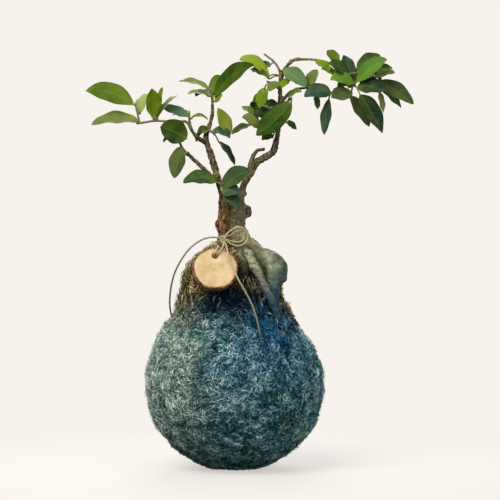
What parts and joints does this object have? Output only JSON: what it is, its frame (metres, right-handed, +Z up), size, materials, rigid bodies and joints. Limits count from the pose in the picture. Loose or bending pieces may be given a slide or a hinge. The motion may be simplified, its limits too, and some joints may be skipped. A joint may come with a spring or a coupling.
{
  "type": "kokedama moss ball plant",
  "caption": "Small ficus with swollen roots standing in a moss-wrapped ball of soil, with a blank wood slice tied on by a string bow.",
  "frame": {"origin": "centre of the small flat spot under the moss ball, on the surface it rests on", "axes": "+Z up along the trunk, -Y towards the front with the wood slice, +X to the right as seen from the front"},
  "size_m": [0.2611, 0.1428, 0.335],
  "materials": {
    "soil": "matte",
    "dyed_moss": "matte",
    "brown_moss": "matte",
    "bark": "matte",
    "tag_wood": "matte",
    "leaf": "satin",
    "twine": "matte"
  },
  "bodies": {
    "root": {"soil_core": "soil", "moss_ball": "dyed_moss", "moss_mound": "brown_moss", "tree": "bark", "wood_tag": "tag_wood", "spray_far_left": "leaf", "spray_left": "leaf", "spray_left_upper": "leaf", "spray_fork": "leaf", "spray_middle": "leaf", "spray_middle_top": "leaf", "spray_centre": "leaf", "spray_big_leaf": "leaf", "spray_young": "leaf", "spray_back": "leaf", "spray_centre_top": "leaf", "spray_right_low": "leaf", "spray_right": "leaf", "string_knot": "twine", "string_end_knot": "twine", "string_bow_outer": "twine", "string_bow_inner": "twine", "string_tag_loop": "twine", "string_left_tail": "twine", "string_right_tail": "twine"}
  },
  "joints": []
}
